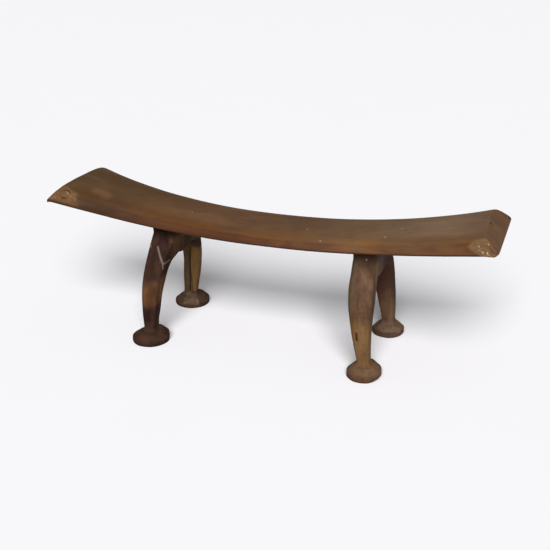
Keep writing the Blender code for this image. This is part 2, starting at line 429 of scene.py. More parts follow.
def bevel_ends(rings):
    """Pare each end down to a slightly domed slope that falls outwards to its lower edge."""
    for side in (-1, 1):
        tip = side * BAR_HALF_LENGTH
        edge = bar_section(tip)[1] - BELLY
        inwards = np.abs(tip - rings[:, :, 0])
        dome = BEVEL_DOME[side] * np.sin(math.pi * np.clip(inwards / BEVEL_LENGTH, 0, 1))
        slope = BEVEL_SLOPE[side] + BEVEL_TWIST[side] * rings[:, :, 1]
        ceiling = edge + TIP_THICKNESS + slope * inwards + dome
        softness = BEVEL_SOFTNESS[side]
        over = (rings[:, :, 2] - ceiling) / softness
        rings[:, :, 2] -= softness * np.logaddexp(0.0, over) * (inwards < BEVEL_REACH)


def round_corners(rings):
    """Each corner of the plan follows a quarter of an ellipse."""
    for (side, flip), (round_x, round_y) in CORNER_ROUNDING.items():
        centre_x = side * (BAR_HALF_LENGTH - round_x)
        centre_y = flip * (HALF_WIDTH_END - round_y)
        out_x = np.clip(side * (rings[:, :, 0] - centre_x), 0.0, None) / round_x
        out_y = np.clip(flip * (rings[:, :, 1] - centre_y), 0.0, None) / round_y
        allowed = np.sqrt(np.clip(1.0 - out_x ** 2, 0.0, None))
        moved = centre_y + flip * round_y * np.minimum(out_y, allowed)
        rings[:, :, 1] = np.where((out_x > 0) & (out_y > 0), moved, rings[:, :, 1])


def right_bevel_share(co, normals):
    """1 on the right end's bevel, 0 on the crown beside it and underneath."""
    pared = top_height(co[:, 0], co[:, 1]) - co[:, 2]
    share = smooth_step(0.0002, 0.0014, pared) * smooth_step(0.195, 0.200, co[:, 0])
    return share * smooth_step(0.0, 0.3, normals[:, 2])


def wear_crossbar(co, normals, above_rim, bevel):
    """Cut the marks of use into the crossbar's points. Returns their masks."""
    grit = fractal(co, (420, 420, 420), 3)

    # A flake lost from the right end's front corner, down to raw wood
    flaked = plane_off(co, FLAKE_POINT, FLAKE_NORMAL, FLAKE_REACH)
    raw = np.clip(flaked * 900, 0, 1) * (1.0 - bevel)
    co -= normals * (raw * (0.00010 + 0.00016 * grit))[:, None]

    # The left end's front tip, rubbed down to paler wood, with a few cracks
    from_tip = np.linalg.norm((co - RUBBED_TIP) * RUBBED_SHAPE, axis=1)
    rubbed = smooth_step(0.0185, 0.0125, from_tip + 0.0030 * fractal(co, (110, 110, 110), 4))
    rubbed *= smooth_step(-0.0005, 0.0020, above_rim)
    co -= normals * (rubbed * (0.00025 + 0.00012 * grit))[:, None]
    pits = dent(co, normals, PIT_CENTRE, PIT_RADIUS, PIT_DEPTH)
    cracks = strongest(near_line(co, *crack) for crack in CRACKS)
    co -= normals * (cracks * CRACK_DEPTH)[:, None]

    # Chips at the corners, a torn edge and small knocks along the top
    chips = strongest(dent(co, normals, centre, radius, CHIP_DEPTH) for centre, radius in CHIPS)
    torn = TORN_STRENGTH * near_line(co, *TORN_EDGE)
    knocks = strongest(
        dent(co, normals, (x, y, top_height(x, y)), radius, KNOCK_DEPTH) for x, y, radius in KNOCKS
    )
    return {
        "raw": raw,
        "rubbed": rubbed,
        "pits": np.maximum(pits, cracks),
        "chips": np.maximum(chips, torn),
        "knocks": knocks,
    }


def make_crossbar():
    piece = ring_mesh("carved_crossbar", bar_rings())
    co = vertex_values(piece, "co")
    normals = vertex_values(piece, "normal")
    half_width, rim, _, _ = bar_section(co[:, 0])
    above_rim = co[:, 2] - rim
    out_from_middle = np.abs(co[:, 1]) / half_width

    # Long, shallow paring marks and the unevenness of hand work
    swell = fractal(co, (14, 45, 45), 1)
    strokes = fractal(co, (30, 160, 160), 2)
    co += normals * (0.00022 * swell + 0.00007 * strokes)[:, None]
    bevel = right_bevel_share(co, normals)
    masks = wear_crossbar(co, normals, above_rim, bevel)
    co = set_positions(piece, co, BAR_LOW, BAR_HIGH)

    # Painted light and shade on the top: a sheen that lightens the top, a highlight streak near the left
    # end, and shade on the front face below it
    share = co[:, 1] / half_width
    crown_side = smooth_step(-0.84, -0.50, share + 0.05 * swell)
    # A painted sheen that lightens and greys the top
    handled = 0.85 * hump(co[:, 0], -0.072, 0.050) + hump(co[:, 0], 0.176, 0.042)
    # Painted shade on the front face near the left end
    low_left = hump(co[:, 0], -0.186, 0.034) * smooth_step(-0.50, -0.80, share)
    # A painted sheen along the back edge, lighter and greyer
    back_edge = smooth_step(0.36, 0.88, share + 0.08 * swell)
    masks.update(
        bevel=bevel,
        handled=handled * crown_side * (1.0 - bevel),
        bloom=near_line(co, *BLOOM) * (0.8 + 0.3 * strokes),
        low_left=low_left * (1.0 - masks["rubbed"]),
        back_edge=back_edge * smooth_step(0.09, 0.04, co[:, 0]),
        side=smooth_step(0.55, 0.90, out_from_middle),
        # the lower side, redder and painted darker as shade where it turns under
        low_side=smooth_step(0.88, 0.965, out_from_middle + 0.02 * swell),
        # a painted shadow, near black, along the lower rim
        rim=smooth_step(0.0006, -0.0024, above_rim) * smooth_step(0.80, 0.95, out_from_middle),
    )
    add_masks(piece, masks)
    cut_with(piece, housing_cutters())
    return piece


def housing_cutters():
    """For the shallow housings that the yokes' heads sit in, and for the pegs' holes above them."""
    reach_x = (HEAD_OUTER_X - HEAD_INNER_X) / 2 + GAP
    reach_y = HEAD_HALF_WIDTH + GAP
    cutters = []
    for side in (-1, 1):
        head = HEAD_CENTRE_X[side]
        ceiling = YOKE_BOXES[side][1].z + GAP
        low = (head - reach_x, -reach_y, ceiling - HOUSING_CUTTER_HEIGHT)
        cutters.append(box_cutter(low, (head + reach_x, reach_y, ceiling)))
        cutters += [peg_cutter(side, flip) for flip in (-1, 1)]
    return cutters


# ---------------------------------------------------------------- leg yokes

def polygon_radius(angle, facet_angles, facet_distances, sharpness):
    """Distance from the centre to a faceted outline with slightly rounded ridges, at each angle."""
    total = 0.0
    for facet, distance in zip(facet_angles, facet_distances):
        lean = np.clip(np.cos(angle - facet), 0.0, None)
        total = total + (lean / distance) ** sharpness
    return total ** (-1.0 / sharpness)


def ridge_mask(angle, facet_angles, facet_distances, width):
    """1 on the ridges between facets, 0 in the middle of them."""
    reaches = []
    for facet, distance in zip(facet_angles, facet_distances):
        lean = np.cos(angle - facet)
        reaches.append(np.where(lean > 0.05, distance / np.maximum(lean, 0.05), 1.0))
    reaches = np.sort(np.stack(reaches), axis=0)
    return np.clip(1.0 - (reaches[1] - reaches[0]) / width, 0.0, 1.0)


def wander(rng, count, pieces, amount):
    """A value that changes in a few straight runs, as the knife's strokes do, along count stations."""
    knots = rng.uniform(-amount, amount, pieces + 1)
    return np.interp(np.linspace(0, pieces, count), np.arange(pieces + 1), knots)


def leg_path(side, flip):
    """Stations from the ankle up to the middle of the head: y and z of the side towards the arch, y and z
    of the outer side, and the distance along the bar to the near and far faces."""
    top = YOKE_BOXES[side][1].z
    arch = ARCH_ANKLE + ARCH_EDGE[(side, flip)]
    rows = np.column_stack([arch, OUTER_EDGE, NEAR_X, FAR_X])
    leg = spline(rows, np.linspace(0, len(rows) - 1, LEG_STEPS))
    arch_y, arch_z, outer_y, outer_z, near_x, far_x = leg[-1]

    # The head's last flat stretch
    t = np.linspace(0, 1, HEAD_STEPS + 1)[1:]
    head = np.empty((HEAD_STEPS, 6))
    head[:, 0] = arch_y * (1 - t)
    head[:, 1] = arch_z + (ARCH_TOP[side] - arch_z) * smooth_step(0, 1, t)
    head[:, 2] = outer_y * (1 - np.clip((t - HEAD_CORNER) / (1 - HEAD_CORNER), 0, 1))
    head[:, 3] = outer_z + (top - outer_z) * np.clip(t / HEAD_CORNER, 0, 1)
    head[:, 4] = near_x
    head[:, 5] = far_x
    path = np.vstack([leg, head])
    height = np.minimum(path[:, 3], top)
    path[:, 3] = height

    # What was carved a little differently on each leg
    extra_near, extra_far = ANKLE_EXTRA[(side, flip)]
    low_down = smooth_step(0.075, 0.030, height)
    carved_away = np.sin(math.pi * np.clip(height / 0.13, 0, 1))
    path[:, 4] -= extra_near * low_down
    path[:, 5] += extra_far * low_down
    if side < 0:
        path[:, 4] += LEFT_HOLLOWING * carved_away
    else:
        path[:, 5] -= RIGHT_TRIM * carved_away
    if (side, flip) == (1, -1):
        path[:, 4] -= FRONT_RIGHT_BULGE * hump(height, 0.082, 0.028)
    return path


def half_yoke(side, flip, seed):
    """Rings and ridge masks from the floor up to the middle of the head, for one leg."""
    rng = np.random.default_rng(seed)
    angle = math.tau * np.arange(LEG_POINTS) / LEG_POINTS
    path = leg_path(side, flip)
    count = len(path)

    # The stations at which the four depths in CHAMFERS hold, and how deep each long edge is in between
    chamfer_steps = (0, LEG_STEPS * 0.45, LEG_STEPS * 0.72, LEG_STEPS * 0.97)
    depths = [np.interp(np.arange(count), chamfer_steps, row) for row in CHAMFERS[(side, flip)]]
    drift = [wander(rng, count, 9, FACET_DRIFT) for _ in range(8)]
    lean = [wander(rng, count, 7, FACET_LEAN) for _ in range(8)]
    rings = np.empty((count, LEG_POINTS, 3))
    ridges = np.empty((count, LEG_POINTS))
    for i in range(count):
        arch_y, arch_z, outer_y, outer_z, near_x, far_x = path[i]
        reach_x = (far_x - near_x) / 2
        reach = math.hypot(outer_y - arch_y, outer_z - arch_z) / 2
        carved = smooth_step(LEG_STEPS + 2, LEG_STEPS - 12, i)      # the head inside the joint is plain
        flats = (reach, reach_x, reach, reach_x)
        angles = []
        distances = []
        for k in range(4):
            square_on = k * math.pi / 2
            along = math.pi / 4 + lean[k][i] * carved
            corner_reach = flats[k] * math.cos(along) + flats[(k + 1) % 4] * math.sin(along)
            depth = depths[k][i] * carved + HEAD_CHAMFER * (1 - carved)
            angles += [square_on, square_on + along]
            distances += [flats[k], corner_reach - depth]
        distances = [d + (drift[k][i] - FACET_DRIFT) * carved for k, d in enumerate(distances)]
        radius = polygon_radius(angle, angles, distances, LEG_SHARPNESS)
        ridges[i] = ridge_mask(angle, angles, distances, LEG_RIDGE_WIDTH)
        outwards = radius * np.cos(angle) / (2 * reach)
        across = radius * np.sin(angle)
        rings[i, :, 0] = YOKE_SHIFT + side * ((near_x + far_x) / 2 + across)
        rings[i, :, 1] = flip * ((arch_y + outer_y) / 2 + outwards * (outer_y - arch_y))
        rings[i, :, 2] = (arch_z + outer_z) / 2 + outwards * (outer_z - arch_z)

    foot, foot_ridges = foot_rings(side, flip, rng, rings[0], ridges[0])
    return np.vstack([foot, rings]), np.vstack([foot_ridges, ridges])


def foot_rings(side, flip, rng, ankle, ankle_ridges):
    """The round foot below the first ring of the leg: a flat sole, a rim and a low faceted cone."""
    foot_radius = YOKE_BOXES[side][1].y - FOOT_Y
    centre = np.array([YOKE_SHIFT + side * FOOT_X, flip * FOOT_Y, 0.0])
    offset = ankle - centre
    ankle_reach = np.hypot(offset[:, 0], offset[:, 1])
    heading = np.arctan2(offset[:, 1], offset[:, 0])
    waviness = 1.0 - 0.012 * (1 + np.sin(3 * heading + rng.uniform(0, 6))) / 2
    waviness -= 0.010 * (1 + np.sin(7 * heading + rng.uniform(0, 6))) / 2
    rim_radius = foot_radius * waviness
    facet_angles = [math.tau * k / FOOT_FACETS + rng.uniform(-0.16, 0.16) for k in range(FOOT_FACETS)]
    facet_reach = [1.0 + rng.uniform(-0.03, 0.05) for _ in range(FOOT_FACETS)]
    faceted = polygon_radius(heading, facet_angles, facet_reach, FOOT_SHARPNESS)
    cone_ridges = ridge_mask(heading, facet_angles, facet_reach, FOOT_RIDGE_WIDTH)
    lift = FOOT_LIFT[(side, flip)] * np.clip(np.cos(heading - 0.35), 0.0, 1.0) ** 1.5
    raise_all, raise_back = FOOT_RAISE[(side, flip)]
    top_raise = raise_all + raise_back * np.clip(np.cos(heading - 1.0), 0.0, 1.0)
    rings = []
    ridges = []

    def ring(reach, height, ridge):
        points = np.empty((LEG_POINTS, 3))
        points[:, 0] = centre[0] + reach * np.cos(heading)
        points[:, 1] = centre[1] + reach * np.sin(heading)
        points[:, 2] = height
        rings.append(points)
        ridges.append(np.zeros(LEG_POINTS) + ridge)

    # The sole, its edge and the rim
    for share in (0.25, 0.5, 0.72, 0.80, 0.90):
        ring(rim_radius * share, lift * max(share - 0.72, 0.0) / 0.28, 0.0)
    for turn in np.linspace(0, math.pi / 2, 5):
        ring(rim_radius - FOOT_EDGE * (1 - math.sin(turn)), lift + FOOT_EDGE * (1 - math.cos(turn)), 0.0)
    start = rim_radius - FOOT_EDGE * 1.4
    rise = FOOT_RIM_HEIGHT - FOOT_EDGE + np.maximum(lift, top_raise)
    for turn in np.linspace(0, math.pi / 2, 7):
        reach = start + FOOT_EDGE * 1.4 * math.cos(turn)
        ring(reach, rise + FOOT_EDGE * math.sin(turn), 0.6 * math.sin(turn) ** 4)

    # The cone, and the neck of the leg that grows out of it
    for t in np.linspace(0, 1, FOOT_STEPS + 1)[1:-1]:
        flare = min(t / FOOT_DISC_SHARE, 1.0)
        climb = max(t - FOOT_DISC_SHARE, 0.0) / (1.0 - FOOT_DISC_SHARE)
        facet_share = math.sin(math.pi * flare ** 1.2) ** 0.7 * 0.45
        neck = ankle_reach + NECK_FLARE * (1 - smooth_step(FOOT_DISC_SHARE, 1.0, t))
        reach = start * (1 - flare) + neck * flare
        reach *= 1 + (faceted - 1.06) * facet_share
        rounding = math.sin(math.pi / 2 * flare) ** 0.9
        disc_top = FOOT_RIM_HEIGHT + (FOOT_DISC_HEIGHT - FOOT_RIM_HEIGHT) * rounding
        disc_top += np.maximum(lift * (1 - flare) ** 0.7, top_raise)
        height = disc_top + (offset[:, 2] - disc_top) * climb
        ring(reach, height, cone_ridges * facet_share * 1.4 * (1 - t ** 4) + ankle_ridges * t ** 4)
    return np.array(rings), np.array(ridges)


# How deep each of a leg's long edges is pared at the ankle, the knee, the haunch and the head. The edges
# are outer-far, arch-far, arch-near and outer-near, where near and far are from the headrest's middle.
CHAMFERS = {
    (-1, -1): (
        (0.0012, 0.0016, 0.0022, 0.0030),
        (0.0010, 0.0014, 0.0018, 0.0022),
        (0.0012, 0.0022, 0.0026, 0.0022),
        (0.0016, 0.0010, 0.0030, 0.0080),
    ),
    (-1, 1): (
        (0.0012, 0.0018, 0.0024, 0.0030),
        (0.0012, 0.0014, 0.0018, 0.0020),
        (0.0018, 0.0024, 0.0020, 0.0020),
        (0.0016, 0.0022, 0.0030, 0.0040),
    ),
    (1, -1): (
        (0.0016, 0.0024, 0.0026, 0.0030),
        (0.0014, 0.0022, 0.0034, 0.0038),
        (0.0012, 0.0016, 0.0020, 0.0022),
        (0.0016, 0.0022, 0.0026, 0.0030),
    ),
    (1, 1): (
        (0.0014, 0.0020, 0.0024, 0.0028),
        (0.0014, 0.0022, 0.0030, 0.0034),
        (0.0012, 0.0016, 0.0020, 0.0020),
        (0.0014, 0.0020, 0.0026, 0.0030),
    ),
}

# The left head's near front corner is pared off in one broad facet, up to the crossbar
HEAD_FACET_POINT = (-0.1185, -0.0351, 0.1153)
HEAD_FACET_NORMAL = (0.445, -0.664, 0.600)
HEAD_FACET_REACH = 0.045

# Edges rubbed pale and grooves left by the knife: start, end, width, strength
WORN_LINES = {
    -1: (
        ((-0.1124, -0.0415, 0.1036), (-0.1082, -0.0458, 0.0960), 0.0013, 1.0),
        ((-0.1082, -0.0458, 0.0960), (-0.1058, -0.0476, 0.0916), 0.0015, 1.0),
        ((-0.1058, -0.0476, 0.0916), (-0.1042, -0.0479, 0.0877), 0.0015, 1.0),
        ((-0.1042, -0.0479, 0.0877), (-0.1028, -0.0432, 0.0880), 0.0014, 0.9),
        ((-0.1028, -0.0432, 0.0880), (-0.1022, -0.0369, 0.0887), 0.0013, 0.8),
        ((-0.1042, -0.0479, 0.0877), (-0.1039, -0.0491, 0.0825), 0.0013, 0.7),
        ((-0.1207, -0.0410, 0.1045), (-0.1212, -0.0425, 0.1020), 0.0012, 0.8),
    ),
    1: (
        ((0.1105, -0.0336, 0.1168), (0.1105, -0.0342, 0.1158), 0.0009, 0.8),
    ),
}
GROOVES = {
    -1: (
        ((-0.1141, 0.0390, 0.0751), (-0.1174, 0.0441, 0.0543), 0.0014, 0.9),
        ((-0.1174, 0.0441, 0.0543), (-0.1200, 0.0466, 0.0175), 0.0012, 0.8),
        ((-0.1160, 0.0385, 0.0762), (-0.1047, 0.0404, 0.0770), 0.0011, 0.7),
    ),
    1: (
        ((0.1076, -0.0519, 0.0820), (0.1091, -0.0560, 0.0719), 0.0022, 0.42),
        ((0.1094, -0.0581, 0.0652), (0.1103, -0.0602, 0.0539), 0.0022, 0.36),
        ((0.1099, -0.0606, 0.0486), (0.1105, -0.0616, 0.0420), 0.0020, 0.70),
        ((0.1084, -0.0574, 0.0685), (0.1155, -0.0572, 0.0695), 0.0011, 0.42),
    ),
}


def line_mask(co, lines):
    return strongest(strength * near_line(co, start, end, width) for start, end, width, strength in lines)


def make_yoke(side):
    front, front_ridges = half_yoke(side, -1, 10 + side)
    back, back_ridges = half_yoke(side, 1, 20 + side)
    rings = np.vstack([front, back[-2::-1]])
    ridges = np.vstack([front_ridges, back_ridges[-2::-1]])
    piece = ring_mesh(f"carved_{SIDE_NAMES[side]}_leg_yoke", rings)
    co = vertex_values(piece, "co")
    normals = vertex_values(piece, "normal")
    low, high = YOKE_BOXES[side]

    on_show = smooth_step(high.z, high.z - 0.006, co[:, 2]) * smooth_step(0.0, 0.0015, co[:, 2])
    if side < 0:
        below_bar = smooth_step(0.1190, 0.1090, co[:, 2])
        pared = co.copy()
        plane_off(pared, HEAD_FACET_POINT, HEAD_FACET_NORMAL, HEAD_FACET_REACH)
        co += (pared - co) * below_bar[:, None]
    swell = fractal(co, (90, 90, 60), 30 + side)
    scrape = fractal(co, (380, 380, 90), 32 + side)
    co += normals * (on_show * (0.00020 * swell - 0.00010 + 0.00005 * scrape))[:, None]
    worn = line_mask(co, WORN_LINES[side])
    grooves = line_mask(co, GROOVES[side])
    co += normals * (0.00025 * worn - 0.0007 * grooves)[:, None]
    co = set_positions(piece, co, low, high)

    patchy = smooth_step(-0.35, 0.75, fractal(co, (120, 120, 60), 34 + side))
    near_joint = co[:, 2] + 0.003 * fractal(co, (120, 120, 120), 36)
    near_floor = co[:, 2] + 0.0012 * fractal(co, (150, 150, 150), 38 + side)
    rim_top = RIM_DIRT_TOP[side]
    masks = yoke_patches(side, co)
    masks.update(
        wear=0.7 * ridges.ravel() * on_show * patchy,
        worn=worn,
        grooves=grooves,
        # painted shade, darkest just under the crossbar where each head meets it
        shade=smooth_step(0.1065, 0.1165, near_joint),
        foot=smooth_step(0.0150, 0.0105, co[:, 2]),
        pale=pale_feet(side, co),
        rim_dirt=smooth_step(rim_top, rim_top - 0.0020, near_floor),
    )
    add_masks(piece, masks)
    cut_with(piece, [peg_cutter(side, flip) for flip in (-1, 1)])
    return piece


def yoke_patches(side, co):
    """Where the legs are stained redder, darker, greyer and yellower."""
    height = co[:, 2] + 0.006 * fractal(co, (70, 70, 70), 40 + side)
    across = co[:, 0] + 0.0012 * fractal(co, (150, 150, 40), 42 + side)
    front = co[:, 1] < 0
    above_foot = smooth_step(0.0150, 0.0172, co[:, 2])
    if side < 0:
        inner_face = smooth_step(-0.1050, -0.1020, co[:, 0]) * smooth_step(0.082, 0.092, co[:, 2])
        inner_face *= smooth_step(-0.040, -0.026, co[:, 1]) * smooth_step(0.118, 0.110, co[:, 2])
        band = smooth_step(0.038, 0.050, height) * smooth_step(0.075, 0.063, height)
        warm = np.maximum(np.where(front, band, 0.0), 0.7 * inner_face)
        patch = smooth_step(0.018, 0.026, height) * smooth_step(0.048, 0.036, height)
        patch *= 0.25 + 0.75 * smooth_step(-0.1130, -0.1175, across)
        above = smooth_step(0.068, 0.078, height) * smooth_step(0.108, 0.094, height)
        patch = np.maximum(patch, 0.5 * above)
        back_head = smooth_step(0.078, 0.088, height) * smooth_step(-0.112, -0.107, across)
        dark = np.where(front, patch, 0.45 * back_head)
        yellow = smooth_step(-0.1172, -0.1158, across) * smooth_step(0.081, 0.070, height)
        grey = smooth_step(-0.1168, -0.1178, across)
        olive = np.maximum(np.where(front, 0.0, grey), 0.3 * inner_face)
        tan = np.where(front, 0.0, above_foot * np.maximum(0.72 * yellow, 0.12 * grey))
    else:
        low_down = smooth_step(0.090, 0.050, height)
        warm = np.where(front, 0.8 * low_down, 0.3 * low_down)
        outer_face = smooth_step(0.1170, 0.1190, co[:, 0]) * smooth_step(0.070, 0.080, co[:, 2])
        warm = np.maximum(warm, 0.7 * outer_face)
        haunch = smooth_step(0.052, 0.066, height) * smooth_step(0.098, 0.086, height)
        dark = np.where(front, 0.28 * haunch, 0.95 * smooth_step(0.030, 0.060, height))
        near_face = smooth_step(0.1040, 0.1010, across)
        far_face = smooth_step(0.1200, 0.1235, across)
        olive = np.where(front, near_face, 0.6 * far_face)
        lower = smooth_step(0.066, 0.050, height) * above_foot
        tan = np.where(front, 0.30 * lower, 0.0)
    return {"warm": warm, "dark": dark, "olive": olive, "tan": tan}


def pale_feet(side, co):
    """Feet whose stain has worn thinner, most of all on the front slope of the left back foot."""
    turn = math.radians(20.0)
    out_x = co[:, 0] - YOKE_SHIFT - side * FOOT_X
    toe = -FOOT_Y - co[:, 1]
    heel = FOOT_Y - co[:, 1]
    level = smooth_step(0.0165, 0.0110, co[:, 2])
    front = co[:, 1] < 0
    if side < 0:
        towards = out_x * math.sin(turn) + heel * math.cos(turn)
        aside = np.abs(out_x * math.cos(turn) - heel * math.sin(turn))
        slope = smooth_step(0.0006, -0.0006, aside - 0.0042 - 0.30 * np.clip(towards, 0.0, None))
        slope *= smooth_step(-0.001, 0.002, towards) * smooth_step(0.0034, 0.0044, co[:, 2])
        return np.where(front, 0.0, level * (0.30 + 0.70 * slope))
    return np.where(front, level * 0.45 * smooth_step(0.012, 0.0, toe), level * 0.75)


# ---------------------------------------------------------------- materials

class Graph:
    """A few short calls for building a node material."""

    def __init__(self, name):
        self.material = bpy.data.materials.new(name)
        self.material.use_nodes = True
        self.tree = self.material.node_tree
        self.place = self.node("ShaderNodeTexCoord").outputs["Object"]

    def node(self, kind, inputs=None, **settings):
        made = self.tree.nodes.new(kind)
        for key, value in settings.items():
            setattr(made, key, value)
        self.plug(made, inputs or {})
        return made

    def plug(self, node, inputs):
        """Link or set a node's inputs, by name or number."""
        for key, value in inputs.items():
            if isinstance(value, bpy.types.NodeSocket):
                self.tree.links.new(value, node.inputs[key])
            else:
                node.inputs[key].default_value = value

    def math(self, operation, a, b, clamp=False):
        return self.node("ShaderNodeMath", {0: a, 1: b}, operation=operation, use_clamp=clamp).outputs[0]

    def times(self, a, b):
        return self.math("MULTIPLY", a, b)

    def noise(self, scale, detail, roughness=0.55, offset=(0.0, 0.0, 0.0), distortion=0.0):
        place = self.node("ShaderNodeMapping", {"Vector": self.place, "Scale": scale, "Location": offset})
        inputs = {
            "Vector": place.outputs[0],
            "Scale": 1.0,
            "Detail": detail,
            "Roughness": roughness,
            "Distortion": distortion,
        }
        return self.node("ShaderNodeTexNoise", inputs).outputs["Fac"]

    def ramp(self, value, stops):
        made = self.node("ShaderNodeValToRGB", {0: value})
        made.color_ramp.interpolation = "EASE"
        elements = made.color_ramp.elements
        while len(elements) < len(stops):
            elements.new(0.5)
        for element, (position, colour) in zip(elements, stops):
            element.position = position
            element.color = (*colour, 1.0)
        return made.outputs["Color"]

    def level(self, value, low, high, to_low=0.0, to_high=1.0):
        inputs = {"Value": value, "From Min": low, "From Max": high, "To Min": to_low, "To Max": to_high}
        return self.node("ShaderNodeMapRange", inputs, interpolation_type="SMOOTHSTEP").outputs["Result"]

    def mix(self, amount, a, b, blend="MIX"):
        a, b = ((*value, 1.0) if isinstance(value, tuple) else value for value in (a, b))
        made = self.node("ShaderNodeMix", {0: amount, 6: a, 7: b}, data_type="RGBA", blend_type=blend)
        return made.outputs[2]

    def tint(self, amount, colour, factor):
        """A colour multiplied by another, as far as amount says."""
        return self.mix(amount, colour, factor, "MULTIPLY")

    def mask(self, name):
        return self.node("ShaderNodeAttribute", attribute_name=name).outputs["Fac"]

    def bump(self, height, distance, strength, under=None):
        inputs = {"Height": height, "Distance": distance, "Strength": strength}
        if under is not None:
            inputs["Normal"] = under
        return self.node("ShaderNodeBump", inputs).outputs["Normal"]

    def done(self, colour, roughness, normal, specular=0.35):
        self.plug(self.tree.nodes["Principled BSDF"], {
            "Base Color": colour,
            "Roughness": roughness,
            "Specular IOR Level": specular,
            "Normal": normal,
        })
        return self.material


def bar_wood():
    g = Graph("bar_wood")
    # Clouds of colour with a faint grain along the bar, redder on the left and paler on the right
    grain = g.noise((14.0, 420.0, 420.0), 5.0, 0.6)
    streaks = g.noise((15.0, 58.0, 58.0), 3.0, 0.5, (5.0, 2.0, 1.0), 1.1)
    clouds = g.noise((22.0, 34.0, 34.0), 3.0, 0.55, (1.0, 7.0, 3.0), 0.5)
    mottle = g.noise((90.0, 140.0, 140.0), 3.0, 0.6, (2.0, 1.0, 6.0))
    x = g.node("ShaderNodeSeparateXYZ", {0: g.place}).outputs["X"]
    along = g.ramp(
        g.level(x, -0.236, 0.236),
        (
            (0.00, (0.084, 0.046, 0.020)),
            (0.25, (0.080, 0.038, 0.016)),
            (0.55, (0.100, 0.053, 0.025)),
            (0.80, (0.122, 0.072, 0.038)),
            (1.00, (0.112, 0.064, 0.034)),
        ),
    )
    colour = g.tint(g.level(clouds, 0.35, 0.68, 0.0, 0.8), along, (0.80, 0.76, 0.84))
    colour = g.tint(g.level(streaks, 0.42, 0.72, 0.0, 0.35), colour, (1.28, 1.20, 0.98))
    colour = g.tint(g.level(mottle, 0.45, 0.75, 0.0, 0.35), colour, (0.76, 0.72, 0.74))
    colour = g.tint(g.level(grain, 0.42, 0.75, 0.0, 0.20), colour, (0.66, 0.58, 0.52))
    colour = g.tint(g.times(g.mask("bevel"), 0.8), colour, (0.98, 0.88, 0.79))
    # Painted sheen: the top lightened and greyed
    colour = g.tint(g.mask("handled"), colour, (1.55, 1.68, 1.82))
    # Painted highlight streak near the left end
    colour = g.tint(g.mask("bloom"), colour, (1.52, 1.46, 1.76))
    # Painted sheen along the back edge
    colour = g.tint(g.mask("back_edge"), colour, (1.40, 1.42, 1.50))
    # Painted shade on the left end's front face
    colour = g.tint(g.mask("low_left"), colour, (0.66, 0.68, 0.76))
    # Handling has left the long sides warmer; below them the lower side is redder and painted darker as
    # shade where it turns under, with a painted shadow along the rim
    side = g.times(g.mask("side"), g.level(clouds, 0.25, 0.6, 0.9, 0.4))
    low_side = g.times(g.mask("low_side"), g.level(streaks, 0.3, 0.65, 1.0, 0.55))
    colour = g.tint(side, colour, (1.06, 0.84, 0.52))
    colour = g.tint(low_side, colour, (0.62, 0.50, 0.46))
    # Painted shadow along the lower rim
    colour = g.mix(g.level(g.mask("rim"), 0.2, 0.9, 0.0, 0.88), colour, (0.030, 0.011, 0.006))
    # Bare wood where the corners have worn or flaked, with bright splinters
    splinters = g.noise((330.0, 620.0, 620.0), 2.0, 0.6)
    flecks = g.noise((480.0, 480.0, 480.0), 1.0, 0.5, (9.0, 1.0, 4.0))
    colour = g.mix(g.times(g.mask("rubbed"), g.level(mottle, 0.25, 0.6, 0.95, 0.5)), colour,
                   g.mix(g.level(splinters, 0.35, 0.7), (0.092, 0.047, 0.018), (0.160, 0.096, 0.040)))
    bare = g.mix(g.level(splinters, 0.35, 0.72), (0.090, 0.049, 0.021), (0.126, 0.074, 0.033))
    bare = g.mix(g.level(flecks, 0.74, 0.80, 0.0, 0.6), bare, (0.460, 0.340, 0.200))
    colour = g.mix(g.level(g.mask("raw"), 0.2, 0.8, 0.0, 0.9), colour, bare)
    colour = g.mix(g.level(g.mask("knocks"), 0.10, 0.6, 0.0, 0.6), colour, (0.330, 0.240, 0.160))
    colour = g.mix(g.level(g.mask("chips"), 0.10, 0.8, 0.0, 0.75), colour, (0.500, 0.380, 0.250))
    colour = g.mix(g.level(g.mask("pits"), 0.10, 0.6, 0.0, 0.82), colour, (0.030, 0.013, 0.007))
    worn = g.math("MAXIMUM", g.mask("raw"), g.mask("rubbed"))
    rough = g.math("ADD", g.level(clouds, 0.3, 0.7, 0.48, 0.62), g.times(worn, 0.25), clamp=True)
    normal = g.bump(grain, 0.00012, 0.5)
    normal = g.bump(mottle, 0.00060, 0.25, normal)
    normal = g.bump(g.times(splinters, worn), 0.0006, 0.35, normal)
    return g.done(colour, rough, normal, 0.10)


# Albedos of each yoke's wood: dark, middle and light streaks, two warm tones, and the darkest patches
YOKE_TONES = {
    -1: (
        (0.019, 0.009, 0.007), (0.034, 0.017, 0.011), (0.054, 0.029, 0.016),
        (0.062, 0.027, 0.012), (0.100, 0.050, 0.020),
        (0.013, 0.006, 0.005),
    ),
    1: (
        (0.052, 0.029, 0.018), (0.080, 0.046, 0.027), (0.112, 0.067, 0.039),
        (0.088, 0.044, 0.019), (0.128, 0.076, 0.034),
        (0.038, 0.015, 0.010),
    ),
}
JOINT_SHADE = {-1: 0.80, 1: 0.68}       # how dark the painted shade is where a head meets the crossbar, just under it
